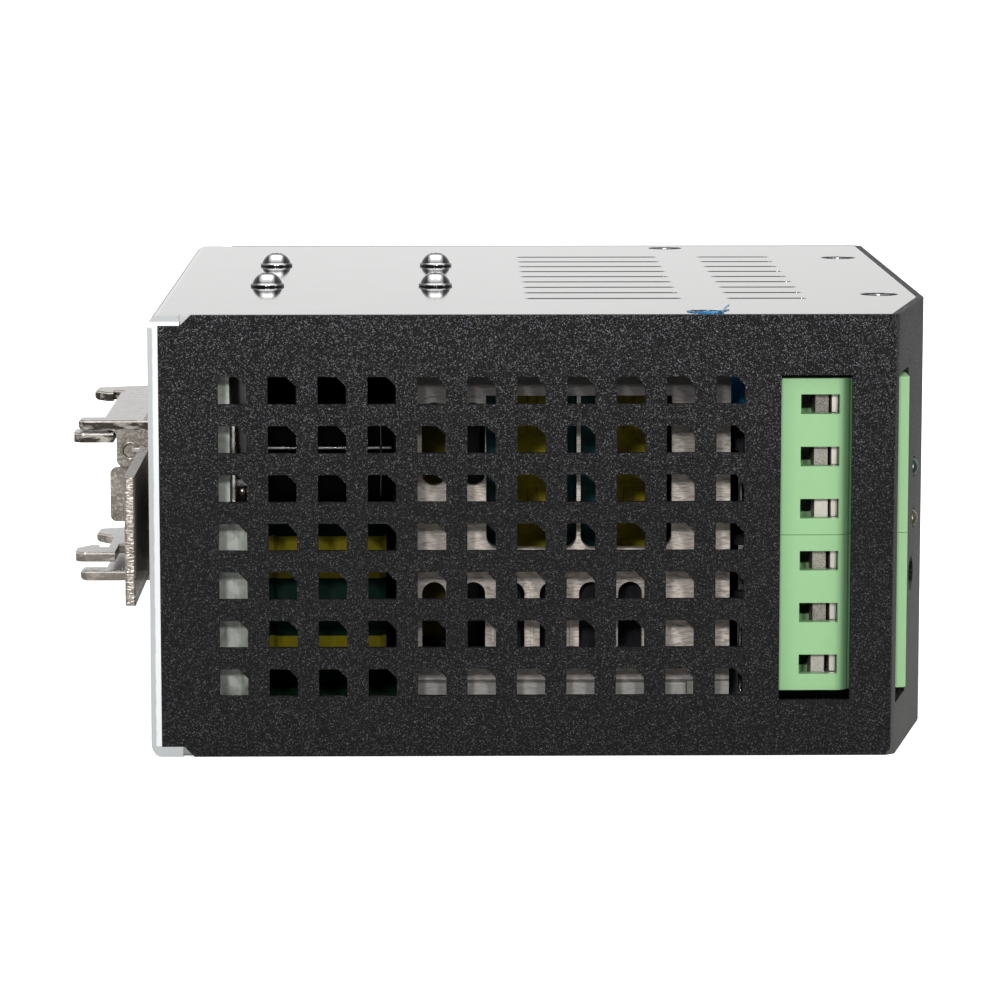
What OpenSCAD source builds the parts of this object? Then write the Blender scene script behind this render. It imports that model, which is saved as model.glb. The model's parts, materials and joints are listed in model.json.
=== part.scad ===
// DIN rail power supply, lying on one side panel.
// The front faces +X, the rail side faces -X and the output end faces -Y.
// Case coordinates start at the rail side, the output end and the lower side panel.

/* [Case] */
// Depth of the case, from the rail side to the front
case_depth = 114.5; // [114.5:0.5:118]
// Length of the case, from the output end to the input end
case_length = 124; // [124:1:130]
// Width of the case, from side panel to side panel
case_width = 64.4; // [64:0.2:66]
// Thickness of the aluminium chassis sheet
sheet = 1.5; // [1.4:0.1:1.6]
// Thickness of the steel front cover
cover = 1.1; // [1:0.1:1.2]
// Length of the slanted face, along the case
slant_length = 27.2; // [26:0.2:28]
// How far the slanted face leans back
slant_drop = 6.6; // [6:0.2:7]

/* [Vents] */
// Columns of vents in each end face
vent_columns = 11; // [1:1:11]
// Rows of vents in each end face
vent_rows = 7; // [1:1:7]
// Width of a vent
vent_width = 4.1; // [3:0.1:4.5]
// Height of a vent
vent_height = 4; // [3:0.1:4.5]
// Cut corner of a vent
vent_corner = 1.35; // [0.5:0.05:1.4]
// Column pitch of the vents
vent_pitch_x = 7.18; // [6.8:0.02:7.18]
// Row pitch of the vents
vent_pitch_z = 7.1; // [6.6:0.02:7.12]
// Number of narrow slots in each group on a side panel
side_slots = 9; // [1:1:9]
// Width of a side slot
side_slot_width = 1.8; // [1.2:0.1:2.4]
// Pitch of the side slots
side_slot_pitch = 9.3; // [7:0.1:9.3]

/* [Terminals] */
// Pitch of the terminal poles
pole_pitch = 7.62; // [7.6:0.01:7.64]
// Height of a wire entry
entry_height = 2.85; // [2:0.05:3.2]
// Depth of a wire entry, along the clamping screw
entry_depth = 5.6; // [5:0.1:5.6]
// Radius of a clamping screw's shank
screw_r = 1.45; // [1.3:0.05:1.45]
// How far each output cage stands above its lowest place
cage_lift = [3.9, 4.1, 4.0, 4.2, 4.1, 4.2]; // [0.5:0.1:4.2]

/* [Rail clip] */
// Width of the rail that the clip grips
rail_width = 35; // [34.8:0.1:35.2]
// Distance of the rail seat from the case
rail_seat = 9.5; // [9.3:0.1:9.8]
// How far the clip's hooks reach from the case
clip_reach = 14; // [13.8:0.1:14.5]
// Width of the release tab
tab_width = 18.8; // [16:0.2:18.8]
// How far the release tab stands out past the output end
tab_reach = 3.5; // [2:0.1:5]
// Travel of the latch
latch_travel = 5; // [4:0.5:5]

/* [Hidden] */
$fn = 48;

eps = 0.01;
mid = case_width / 2;
x_mid = (case_depth - clip_reach) / 2;
y_mid = (case_length - tab_reach) / 2;

// Slanted face: its lean, and the corner where it meets the output end
lean = atan(slant_drop / slant_length);
nose_x = case_depth - slant_drop;

// M3 fasteners
tap_r = 1.25;
thread_r = 1.5;
clear_r = 1.6;
flat_head_r = 2.9;

// Places of the fasteners on a side panel
cover_screw_xy = [
    [80.5, 5.5],
    [80.5, case_length - 5.5],
    [case_depth - 6.2, 32],
    [case_depth - 6.2, 98.4]
];
dome_xy = [[15.4, 47], [15.4, 84], [41.3, 47], [41.3, 84]];

// Half width of the cover's screw tabs
tab_half = 8;

// Side slot groups: start and end along X, and the first slot's place along Y
slot_groups = [[54.6, 78.2], [84.7, 96.9]];
slot_start = 25.5;

// Terminal blocks, seen along Z: board side, face, shoulder and screw face
block_x = 90.1;
block_face = 1.6;
block_back = 12;
block_top = 110;
block_poles = 3;
block_width = block_poles * pole_pitch;
entry_x = 94.1;
terminal_window_x = 91.1;
terminal_window = 10.3;
bar_x = entry_x + 4.6;
bar_t = 1;
cage_top = 0.9;
cage_floor = 2;
cage_inner = 5.5;
cage_open_x = 92.1;
shoulder_x = 105;
shoulder_t = 0.8;
input_lift = 3.7;

// Circuit boards
board_t = 1.6;
pcb_z = 5;
pcb_top = pcb_z + board_t;
pcb_x = [4, 90];
pcb_y = [4, case_length - 4];
standoff_xy = [[6.7, 20], [6.7, 100], [80, 46], [80, 104]];
front_board_x = block_x - board_t;

// Plate heatsink behind the output end vents
plate_y = 8;
plate_t = 2;
plate_x = [36, 84.4];
plate_top = 61;
slot_w = 3.5;
slot_pitch = 5.75;
slot_x = 39.3;
rim = 0.9;

// Rail clip
clip_t = 1.5;
clip_half = 12.4;
rail_y = 60.7;
rail_near = rail_y - rail_width / 2;
rail_far = rail_y + rail_width / 2;
slider_x = 1.8;
lug_y = 38.5;
spring_seat_y = 62;
spring_x = 5.6;
spring_z = 6.9;

// Moves case coordinates to the frame of the part
module in_frame(colour) {
    color(colour) translate([-x_mid, -y_mid, 0]) children();
}

// Turns a profile drawn in X and Z so that it is extruded from y to y + length
module along_y(y, length) {
    translate([0, y + length, 0]) rotate([90, 0, 0]) linear_extrude(length) children();
}

// Turns local Z to the case's front
module facing_front(x, y, z) {
    translate([x, y, z]) rotate([0, 90, 0]) children();
}

// Local Z stands square on the slanted face, and local Y runs up it
module on_slant(along, z) {
    translate([nose_x + along * sin(lean), along * cos(lean), z]) rotate([0, 90, -lean]) children();
}

// Copies to both side panels: local Z points out of the panel, from its outer surface
module on_both_panels() {
    translate([0, 0, case_width]) children();
    mirror([0, 0, 1]) children();
}

// Mirrors the output end's geometry to the input end
module at_input_end() {
    translate([0, case_length, 0]) mirror([0, 1, 0]) children();
}

// Outline of the case seen from the side, moved in by an offset, from the given place on X
function case_outline(back, inset) = [
    [back, inset],
    [nose_x - inset * tan((90 - lean) / 2), inset],
    [case_depth - inset, slant_length + inset * tan(lean / 2)],
    [case_depth - inset, case_length - inset],
    [back, case_length - inset]
];

function pole_z(i) = mid + (i - 2.5) * pole_pitch;
function input_pole_z(i) = mid + (i - 1) * pole_pitch;

module round_slot(x0, x1, y, width) {
    translate([x0 + width / 2, y - width / 2]) square([x1 - x0 - width, width]);
    for (x = [x0 + width / 2, x1 - width / 2]) translate([x, y]) circle(width / 2);
}

module upright_slot(x, z0, z1, width) {
    translate([x, z0 + width / 2]) square([width, z1 - z0 - width]);
    for (z = [z0 + width / 2, z1 - width / 2]) translate([x + width / 2, z]) circle(width / 2);
}

// Countersunk screw: its head is flush with local Z = 0, and it points down
module flat_screw(length, recess) {
    difference() {
        union() {
            translate([0, 0, -flat_head_r + thread_r]) {
                cylinder(h = flat_head_r - thread_r - 0.05, r1 = thread_r, r2 = flat_head_r - 0.05);
            }
            translate([0, 0, -length]) cylinder(h = length - 1, r = thread_r);
        }
        for (a = [0, 90]) rotate([0, 0, a]) translate([0, 0, -recess / 2]) {
            cube([3.2, 0.8, recess + eps], center = true);
        }
    }
}

module flat_screw_hole(depth) {
    translate([0, 0, -flat_head_r + thread_r]) {
        cylinder(h = flat_head_r - thread_r + eps, r1 = clear_r, r2 = flat_head_r + 0.11);
    }
    translate([0, 0, -depth]) cylinder(h = depth, r = clear_r);
}

module side_panel_slots() {
    for (group = slot_groups, i = [0:side_slots - 1]) {
        round_slot(group[0], group[1], slot_start + i * side_slot_pitch, side_slot_width);
    }
}

// Bent sheet channel: rail side wall and two side panels
module chassis() {
    bend = 1.8;
    lug = 4.6;
    in_frame("gainsboro") difference() {
        intersection() {
            along_y(0, case_length) difference() {
                union() {
                    translate([bend, 0]) square([case_depth, case_width]);
                    translate([0, bend]) square([bend, case_width - 2 * bend]);
                    for (z = [bend, case_width - bend]) translate([bend, z]) circle(bend);
                }
                translate([sheet, sheet]) square([case_depth + bend, case_width - 2 * sheet]);
            }
            linear_extrude(case_width) union() {
                square([lug, case_length]);
                polygon(case_outline(0, cover));
            }
        }
        on_both_panels() {
            translate([0, 0, -sheet - 1]) linear_extrude(sheet + 2) side_panel_slots();
            for (p = cover_screw_xy) translate(p) flat_screw_hole(sheet + 1);
        }
        for (p = dome_xy) translate([p[0], p[1], case_width - sheet - 1]) {
            cylinder(h = sheet + 2, r = clear_r);
        }
        for (p = standoff_xy) translate([p[0], p[1], -1]) cylinder(h = sheet + 2, r = clear_r);
        for (p = clip_screw_yz) facing_front(-1, p[0], p[1]) cylinder(h = sheet + 2, r = tap_r);
    }
}

module vent_grid() {
    start_x = 10;
    start_z = mid - ((vent_rows - 1) * vent_pitch_z + vent_height) / 2;
    for (column = [0:vent_columns - 1], row = [0:vent_rows - 1]) {
        translate([start_x + column * vent_pitch_x, start_z + row * vent_pitch_z]) polygon([
            [0, 0],
            [vent_width, 0],
            [vent_width, vent_height - vent_corner],
            [vent_width - vent_corner, vent_height],
            [0, vent_height]
        ]);
    }
}

// Corners of the end face give way to the side panels' edges
module end_face_notches() {
    notch = 4.75;
    for (m = [0, 1]) translate([0, m * case_width]) mirror([0, m]) polygon([
        [0, -1],
        [notch + 2.4, -1],
        [notch + sheet, 0],
        [notch, sheet],
        [0, sheet]
    ]);
}

module end_face_cuts() {
    along_y(-1, cover + 2) {
        vent_grid();
        end_face_notches();
    }
}

// Steel shell: two perforated ends, the slanted face and the front, with screw tabs
module front_cover() {
    in_frame([0.16, 0.16, 0.17]) difference() {
        union() {
            linear_extrude(case_width) difference() {
                polygon(case_outline(sheet, 0));
                polygon(case_outline(sheet - 1, cover));
            }
            translate([0, 0, mid]) for (m = [0, 1]) mirror([0, 0, m]) {
                translate([0, 0, mid - sheet - cover]) linear_extrude(cover) intersection() {
                    polygon(case_outline(sheet, cover / 2));
                    for (p = cover_screw_xy) translate([p[0], p[1]]) square(2 * tab_half, center = true);
                }
            }
        }
        end_face_cuts();
        at_input_end() end_face_cuts();
        translate([terminal_window_x, -1, mid - block_width - 1.2]) {
            cube([terminal_window, cover + 2, 2 * block_width + 1.8]);
        }
        translate([terminal_window_x, case_length - cover - 1, mid - block_width / 2 - 0.6]) {
            cube([terminal_window, cover + 2, block_width + 1.2]);
        }
        on_slant(6.3, mid - 0.6) cube([48.2, 10.4, 4 * cover], center = true);
        translate([case_depth - 2 * cover, case_length - 12.2, mid - block_width / 2 - 0.6]) {
            cube([3 * cover, 10.4, block_width + 1.2]);
        }
        for (z = led_z) on_slant(led_along, z) cylinder(h = 4 * cover, r = 1.6, center = true);
        on_slant(vadj_along, vadj_z) cylinder(h = 4 * cover, r = 2.55, center = true);
        for (p = cover_screw_xy) translate([p[0], p[1], -1]) cylinder(h = case_width + 2, r = tap_r);
    }
}

module cover_screws() {
    in_frame("silver") on_both_panels() {
        for (p = cover_screw_xy) translate(p) flat_screw(4.2, 0.9);
    }
}

module dome_screws() {
    ring_r = 2.6;
    ring_h = 0.4;
    head_r = 2.35;
    head_h = 1.75;
    ball_r = (head_r * head_r + head_h * head_h) / (2 * head_h);
    in_frame("silver") for (p = dome_xy) translate([p[0], p[1], case_width]) difference() {
        union() {
            intersection() {
                translate([0, 0, ring_h + head_h - ball_r]) sphere(ball_r);
                cylinder(h = head_h + 1, r = head_r + 1);
            }
            cylinder(h = ring_h, r = ring_r);
            translate([0, 0, -5]) cylinder(h = 5 + eps, r = thread_r);
        }
        translate([0, 0, ring_h + head_h - 0.7]) cylinder(h = 2, r = 0.9, $fn = 6);
    }
}

module pcb() {
    in_frame("darkgreen") translate([0, 0, pcb_z]) linear_extrude(board_t) difference() {
        translate([pcb_x[0], pcb_y[0]]) square([pcb_x[1] - pcb_x[0], pcb_y[1] - pcb_y[0]]);
        for (p = standoff_xy) translate(p) circle(clear_r);
    }
}

module pcb_standoffs() {
    in_frame("goldenrod") for (p = standoff_xy) translate([p[0], p[1], 0]) difference() {
        union() {
            translate([0, 0, sheet]) cylinder(h = pcb_z - sheet, r = 3.1, $fn = 6);
            translate([0, 0, 0.1]) cylinder(h = sheet, r = thread_r);
        }
        translate([0, 0, 1.1]) cylinder(h = pcb_z, r = tap_r);
    }
}

module pcb_screws() {
    in_frame("silver") for (p = standoff_xy) translate([p[0], p[1], pcb_top]) difference() {
        union() {
            cylinder(h = 2, r = 2.75);
            translate([0, 0, -4.5]) cylinder(h = 5, r = thread_r);
        }
        for (a = [0, 90]) rotate([0, 0, a]) translate([-1.5, -0.4, 1]) cube([3, 0.8, 2]);
    }
}

module insulation_sheet() {
    in_frame([0.9, 0.88, 0.8]) translate([0, 0, sheet]) linear_extrude(0.4) difference() {
        translate([sheet + 0.7, pcb_y[0] - 1]) square([pcb_x[1] - sheet, pcb_y[1] - pcb_y[0] + 2]);
        for (p = standoff_xy) translate(p) circle(3.6);
        for (p = cover_screw_xy) translate(p) square(2 * tab_half + 1, center = true);
    }
}

// Slots of the plate heatsink: six low ones, and two high ones beside the windows
module plate_slots(grow) {
    for (i = [0:5]) {
        upright_slot(slot_x + i * slot_pitch - grow, 12.5 - grow, 24.3 + grow, slot_w + 2 * grow);
    }
    for (i = [0, 1]) {
        upright_slot(slot_x + i * slot_pitch - grow, 38.6 - grow, 50.8 + grow, slot_w + 2 * grow);
    }
}

module plate_window(x0, x1) {
    corner = 1.9;
    translate([x0, 29.3 + corner]) square([x1 - x0, 22.5 - corner]);
    translate([x0 + corner, 29.3]) square([x1 - x0 - 2 * corner, corner + 1]);
    for (x = [x0 + corner, x1 - corner]) translate([x, 29.3 + corner]) circle(corner);
}

// Plate with windows and slots, a foot on the board and a stiffening fold at its end
module output_heatsink() {
    in_frame([0.72, 0.69, 0.65]) {
        difference() {
            union() {
                along_y(plate_y, plate_t) {
                    translate([plate_x[0], pcb_top]) {
                        square([plate_x[1] - plate_x[0], plate_top - pcb_top]);
                    }
                }
                translate([plate_x[0], plate_y - 1, pcb_top]) cube([42, 1 + eps, 3.2]);
                translate([plate_x[1] - plate_t, plate_y, 14]) cube([plate_t, 14, plate_top - 14]);
            }
            along_y(plate_y - 1, plate_t + 2) {
                plate_slots(0);
                plate_window(48.7, 61.9);
                plate_window(62.5, 75.8);
            }
            along_y(plate_y - 1, 1.3) plate_slots(rim);
        }
    }
}

// Wall behind the rail side, its ear at the output end and the flange under the side panel
module primary_heatsink() {
    in_frame([0.8, 0.82, 0.8]) difference() {
        union() {
            translate([9.5, 7, pcb_top]) cube([1.9, 104, case_width - sheet - pcb_top]);
            translate([9.5, 7, pcb_top]) cube([6, 2, 29.4]);
            translate([9.5, 38, case_width - sheet - 2.5]) cube([37, 55, 2.5]);
        }
        for (p = dome_xy) translate([p[0], p[1], case_width - sheet - 4]) cylinder(h = 5, r = tap_r);
        facing_front(9, 60, 34) cylinder(h = 4, r = tap_r);
    }
}

module bridge_rectifier() {
    in_frame([0.1, 0.1, 0.1]) {
        translate([11.4, 92, 16]) cube([4.6, 16, 20]);
        for (i = [0:3]) translate([13.5, 93.6 + i * 4, pcb_top]) cube([0.8, 0.8, 11]);
    }
}

// Two transistors on the primary heatsink, with their legs in the board
module mosfets() {
    in_frame([0.1, 0.1, 0.1]) for (y = [44, 66]) {
        translate([11.4, y, 18]) cube([4.6, 10.2, 16]);
        for (i = [-1:1]) translate([14, y + 4.7 + 2.54 * i, pcb_top]) cube([0.7, 0.8, 13]);
    }
}

// Two rectifiers on the plate heatsink's fold
module output_diodes() {
    in_frame([0.1, 0.1, 0.1]) for (z = [22, 42]) {
        translate([plate_x[1] - plate_t - 4.5, 11.5, z]) cube([4.5, 10.2, 15]);
    }
}

// Ferrite frame of a wound part: two outer legs, two yokes and a centre leg
module core(x0, x1, y0, depth, z1) {
    leg = 3;
    yoke = 4;
    translate([x0, y0, pcb_top + 1.4]) difference() {
        cube([x1 - x0, depth, z1 - pcb_top - 1.4]);
        translate([leg, -1, yoke]) {
            cube([x1 - x0 - 2 * leg, depth + 2, z1 - pcb_top - 1.4 - 2 * yoke]);
        }
    }
    translate([(x0 + x1) / 2 - 1.5, y0 + 3, pcb_top + 4]) cube([3, depth - 6, z1 - pcb_top - 6]);
}

// Taped coil round a core's centre leg
module coil(x0, x1, y0, depth, z1) {
    z0 = pcb_top + 7.2;
    difference() {
        translate([x0 + 3.2, y0 - 2.4, z0]) cube([x1 - x0 - 6.4, depth + 4.8, z1 - 5.8 - z0]);
        translate([(x0 + x1) / 2 - 1.7, y0 + 2.8, z0 - 1]) cube([3.4, depth - 5.6, z1 - z0]);
    }
}

coil_y = 23;
coil_depth = 16;
transformer_x = [48.6, 62.3];
choke_x = [62.7, 76.4];
filter_x = [35, 48];
coil_top = 57;

module transformer_core() {
    in_frame([0.05, 0.3, 0.28]) core(transformer_x[0], transformer_x[1], coil_y, coil_depth, coil_top);
}

// Flanges above and below the coil, and the foot on the board
module transformer_bobbin() {
    x0 = transformer_x[0] + 3.1;
    width = transformer_x[1] - transformer_x[0] - 6.2;
    in_frame([0.12, 0.12, 0.12]) {
        for (z = [pcb_top + 5.5, coil_top - 5.7]) translate([x0, coil_y - 2.8, z]) difference() {
            cube([width, coil_depth + 5.6, 1.5]);
            translate([width / 2 - 1.7, 5.6, -1]) cube([3.4, coil_depth - 5.6, 4]);
        }
        translate([x0 - 2, coil_y + 2, pcb_top]) cube([width + 4, coil_depth - 4, 1.4]);
    }
}

module transformer_winding() {
    in_frame([0.75, 0.65, 0.1]) coil(transformer_x[0], transformer_x[1], coil_y, coil_depth, coil_top);
}

module choke_core() {
    in_frame([0.05, 0.3, 0.28]) {
        core(choke_x[0], choke_x[1], coil_y, coil_depth, coil_top);
        translate([choke_x[0] + 2, coil_y + 2, pcb_top]) cube([9, coil_depth - 4, 1.4 + eps]);
    }
}

module choke_winding() {
    in_frame([0.75, 0.65, 0.1]) coil(choke_x[0], choke_x[1], coil_y, coil_depth, coil_top);
}

module line_filter_core() {
    in_frame([0.15, 0.15, 0.16]) {
        core(filter_x[0], filter_x[1], coil_y, coil_depth, coil_top);
        translate([filter_x[0] + 2, coil_y + 2, pcb_top]) cube([9, coil_depth - 4, 1.4 + eps]);
    }
}

module line_filter_winding() {
    in_frame([0.6, 0.52, 0.08]) coil(filter_x[0], filter_x[1], coil_y, coil_depth, coil_top);
}

// Sleeved can with the groove near its end
module large_can(r, length) {
    rotate_extrude() polygon([
        [0, 0],
        [r - 1, 0],
        [r, 1],
        [r, 2.6],
        [r - 0.8, 3.3],
        [r, 4],
        [r, length - 1],
        [r - 1, length],
        [0, length]
    ]);
}

// One large capacitor lies on the board and one stands on it
module bulk_capacitors() {
    lying_r = 13.5;
    in_frame([0.05, 0.16, 0.1]) {
        facing_front(14, 24.4, pcb_top + lying_r) large_can(lying_r, 20);
        translate([30, 56, pcb_top]) large_can(12.5, 50);
    }
}

module output_capacitors() {
    in_frame([0.07, 0.07, 0.08]) for (x = [54.5, 63.4, 72.3]) translate([x, 15.3, pcb_top]) {
        cylinder(h = 17, r = 4);
        translate([0, 0, 16.9]) cylinder(h = 0.6, r = 3.4);
    }
}

module x_capacitor() {
    in_frame([0.8, 0.72, 0.15]) translate([22, 96, pcb_top]) cube([26, 11, 20]);
}

// Two disc capacitors against the front board
module y_capacitors() {
    in_frame("royalblue") for (y = [26, 98]) facing_front(front_board_x - 2.9, y, 50.8) {
        cylinder(h = 2.8, r = 4);
    }
}

module varistor() {
    in_frame("royalblue") translate([58, 104, pcb_top + 8.5]) {
        rotate([90, 0, 0]) cylinder(h = 5, r = 7, center = true);
        for (x = [-3.8, 3]) translate([x, -0.4, -8.5]) cube([0.8, 0.8, 4]);
    }
}

// Fuse in its two clips
module fuse() {
    in_frame([0.85, 0.85, 0.8]) {
        facing_front(52, 114, pcb_top + 4) cylinder(h = 20, r = 2.6);
        for (x = [52.5, 67.5]) translate([x, 111, pcb_top]) cube([4, 6, 4]);
    }
}

// Upright board behind the front, which carries both terminal rows
module front_board() {
    in_frame("darkgreen") difference() {
        translate([front_board_x, 4, pcb_top]) cube([board_t, case_length - 8, 53]);
        for (z = all_output_z) translate([front_board_x - 1, 10.7, z - 0.7]) cube([4, 1, 1.4]);
        for (z = all_input_z) translate([front_board_x - 1, case_length - 11.7, z - 0.7]) {
            cube([4, 1, 1.4]);
        }
    }
}

led_along = 19.4;
led_z = [mid + 7.7, mid];
vadj_along = 16.8;
vadj_z = mid - 8;
led_board_depth = 7.5;
all_output_z = [for (i = [0:5]) pole_z(i)];
all_input_z = [for (i = [0:2]) input_pole_z(i)];

// Small board under the slanted face, with the header that plugs it into the front board
module led_board() {
    in_frame("darkgreen") {
        on_slant(18.5, mid) translate([-14, -4.5, -led_board_depth - board_t]) cube([28, 9, board_t]);
        translate([block_x, 17, mid - 12]) cube([13.5, 2.5, 24]);
    }
}

module led(z) {
    on_slant(led_along, z) {
        translate([0, 0, -4.7]) cylinder(h = 3.8, r = 1.5);
        translate([0, 0, -0.9]) sphere(1.5);
        translate([0, 0, -4.9]) cylinder(h = 1, r = 1.9);
        for (x = [-1.5, 1]) translate([x, -0.25, -led_board_depth]) cube([0.5, 0.5, 3]);
    }
}

module led_ok() {
    in_frame("green") led(led_z[0]);
}

module led_low() {
    in_frame("olive") led(led_z[1]);
}

module vadj_body() {
    in_frame([0.15, 0.3, 0.6]) on_slant(vadj_along, vadj_z) translate([0, 0, -led_board_depth]) {
        difference() {
            translate([-3.2, -2.8, 0]) cube([6.4, 6, 4.4]);
            translate([0, 0, 3.2]) cylinder(h = 2, r = 2.05);
        }
    }
}

module vadj_rotor() {
    in_frame("gold") on_slant(vadj_along, vadj_z) translate([0, 0, -led_board_depth + 3.25]) {
        difference() {
            cylinder(h = 1.5, r = 2);
            for (a = [0, 90]) rotate([0, 0, a]) translate([-1.5, -0.25, 0.8]) cube([3, 0.5, 1]);
        }
    }
}

// Housing of a block of three poles, from its lowest pole's centre
module terminal_block(first_z) {
    wall_z = first_z - pole_pitch / 2;
    difference() {
        translate([0, 0, wall_z]) linear_extrude(block_width - 0.04) polygon([
            [block_x, block_face],
            [entry_x + entry_depth + 0.3, block_face],
            [entry_x + entry_depth + 0.9, block_face + 0.25],
            [entry_x + entry_depth + 1.35, block_face + 0.75],
            [entry_x + entry_depth + 1.6, block_face + 1.25],
            [shoulder_x + 0.5, block_face + 1.35],
            [block_top - 0.3, block_face + 2.2],
            [block_top, block_face + 2.6],
            [block_top, block_back - 1.9],
            [block_top - 1.2, block_back],
            [block_x, block_back]
        ]);
        for (i = [0:block_poles - 1]) translate([0, 0, first_z + i * pole_pitch]) {
            translate([cage_open_x - 0.6, 3.4, -3]) cube([shoulder_x - cage_open_x + 0.6, 6.8, 6]);
            translate([entry_x, 0, -entry_height / 2]) cube([entry_depth, 5, entry_height]);
            translate([block_x - 1, 10, -1.6]) cube([bar_x + bar_t - block_x + 1.1, 1.7, 3.2]);
            facing_front(shoulder_x - 1, 6.8, 0) cylinder(h = 6, r = screw_r + 0.1);
            facing_front(shoulder_x + shoulder_t, 6.8, 0) cylinder(h = 6, r = 2.4);
        }
    }
}

// Contact bar of one pole, with its leg through the board
module contact(z) {
    translate([bar_x, 4, z - 1.5]) cube([bar_t, 7.6, 3]);
    translate([block_x, 10.8, z - 1.5]) cube([bar_x - block_x + eps, 0.8, 3]);
    translate([front_board_x - 2, 10.8, z - 0.6]) cube([4, 0.8, 1.2]);
}

// Clamping cage: the ring that draws a wire up to the contact bar
module cage(lift, z) {
    outer = cage_floor + cage_inner + cage_top;
    translate([cage_open_x + lift, 3.8, z]) difference() {
        translate([0, 0, -2.7]) cube([outer, 5.8, 5.4]);
        translate([cage_floor, -1, -1.8]) cube([cage_inner, 8, 3.6]);
        facing_front(outer - 2, 3, 0) cylinder(h = 3, r = screw_r + 0.07);
    }
}

module clamp_screw(z) {
    difference() {
        union() {
            facing_front(bar_x + bar_t + 0.1, 6.8, z) cylinder(h = 6.5, r = screw_r);
            facing_front(shoulder_x + shoulder_t + 0.1, 6.8, z) cylinder(h = 1.8, r = 2.2);
        }
        translate([shoulder_x + shoulder_t + 1.1, 4, z - 0.35]) cube([2, 6, 0.7]);
    }
}

module output_terminal_a() {
    in_frame([0.5, 0.74, 0.46]) terminal_block(pole_z(0));
}

module output_terminal_b() {
    in_frame([0.5, 0.74, 0.46]) terminal_block(pole_z(3));
}

module output_contacts() {
    in_frame([0.8, 0.78, 0.7]) for (z = all_output_z) contact(z);
}

module output_screw(i) {
    in_frame("silver") clamp_screw(pole_z(i));
}

module output_cage(i) {
    in_frame([0.75, 0.72, 0.66]) cage(cage_lift[i], pole_z(i));
}

module input_terminal() {
    in_frame([0.5, 0.74, 0.46]) at_input_end() terminal_block(input_pole_z(0));
}

module input_contacts() {
    in_frame([0.8, 0.78, 0.7]) at_input_end() for (z = all_input_z) contact(z);
}

module input_screw(i) {
    in_frame("silver") at_input_end() clamp_screw(input_pole_z(i));
}

module input_cage(i) {
    in_frame([0.75, 0.72, 0.66]) at_input_end() cage(input_lift, input_pole_z(i));
}

clip_screw_yz = [for (y = [46, 84], z = [mid - 7, mid + 7]) [y, z]];
rivet_y = 50;
rivet_z = [mid - 4.2, mid + 1.6];

// Outline of the bracket's flange: guide finger, rail seat and fixed hook
module bracket_flange() {
    hook_y = rail_far + 0.6;
    polygon([
        [0, lug_y],
        [-clip_reach + 1.6, lug_y],
        [-clip_reach + 0.6, lug_y + 1],
        [-clip_reach + 0.6, rail_near - 0.6],
        [-rail_seat, rail_near - 0.6],
        [-rail_seat, hook_y - 2.6],
        [-rail_seat + 0.4, hook_y - 2.6],
        [-rail_seat + 0.4, hook_y],
        [-rail_seat - 1.3, hook_y],
        [-rail_seat - 1.3, hook_y - 2.4],
        [-rail_seat - 2.4, hook_y - 2.4],
        [-clip_reach, hook_y],
        [-clip_reach, hook_y + 4.4],
        [-rail_seat + 1, hook_y + 6.4],
        [0, hook_y + 9]
    ]);
}

// Channel screwed to the rail side: base, two flanges and the spring's fixed lug
module clip_bracket() {
    in_frame([0.66, 0.64, 0.6]) difference() {
        union() {
            translate([-clip_t, lug_y + 1.5, mid - clip_half]) cube([clip_t, 50, 2 * clip_half]);
            for (z = [mid - clip_half, mid + clip_half - clip_t]) translate([0, 0, z]) {
                linear_extrude(clip_t) bracket_flange();
            }
            translate([-7.5, lug_y, mid + 5.2]) cube([7.5, clip_t, clip_half - 5.2 - eps]);
        }
        translate([-5.4, lug_y - 0.6, mid + 7.7]) rotate([-90, 0, 0]) cylinder(h = 1, r = 1.05);
        for (p = clip_screw_yz) translate([-clip_t, p[0], p[1]]) rotate([0, -90, 0]) {
            flat_screw_hole(clip_t + 1);
        }
        for (z = rivet_z) facing_front(-clip_t - 1, rivet_y, z) cylinder(h = 4, r = tap_r);
    }
}

module clip_screws() {
    in_frame("silver") for (p = clip_screw_yz) {
        translate([-clip_t, p[0], p[1]]) rotate([0, -90, 0]) flat_screw(5, 0.8);
    }
}

// Shoulder rivets that guide the latch through its slots
module clip_rivets() {
    in_frame("silver") for (z = rivet_z) translate([0, rivet_y, z]) rotate([0, -90, 0]) {
        translate([0, 0, 0.1]) cylinder(h = clip_t + 2.1, r = thread_r);
        translate([0, 0, clip_t + 2.1]) cylinder(h = 0.9, r = 2.6);
    }
}

// Outline of the latch's flange: rounded finger with the sprung hook
module latch_flange() {
    tip = 1.6;
    bite = rail_near + 1.6;
    translate([-clip_reach + tip, 37.4 + tip]) circle(tip);
    polygon([
        [-slider_x, 47],
        [-7.9, 46],
        [-7.9, 37.4],
        [-clip_reach + tip, 37.4],
        [-clip_reach, 37.4 + tip],
        [-clip_reach, rail_near - 1.2],
        [-rail_seat - 2.6, bite],
        [-rail_seat - 1.3, bite],
        [-rail_seat - 1.3, rail_near - 0.5],
        [-rail_seat + 0.3, rail_near - 0.5],
        [-rail_seat + 0.3, spring_seat_y],
        [-slider_x, spring_seat_y]
    ]);
}

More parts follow.
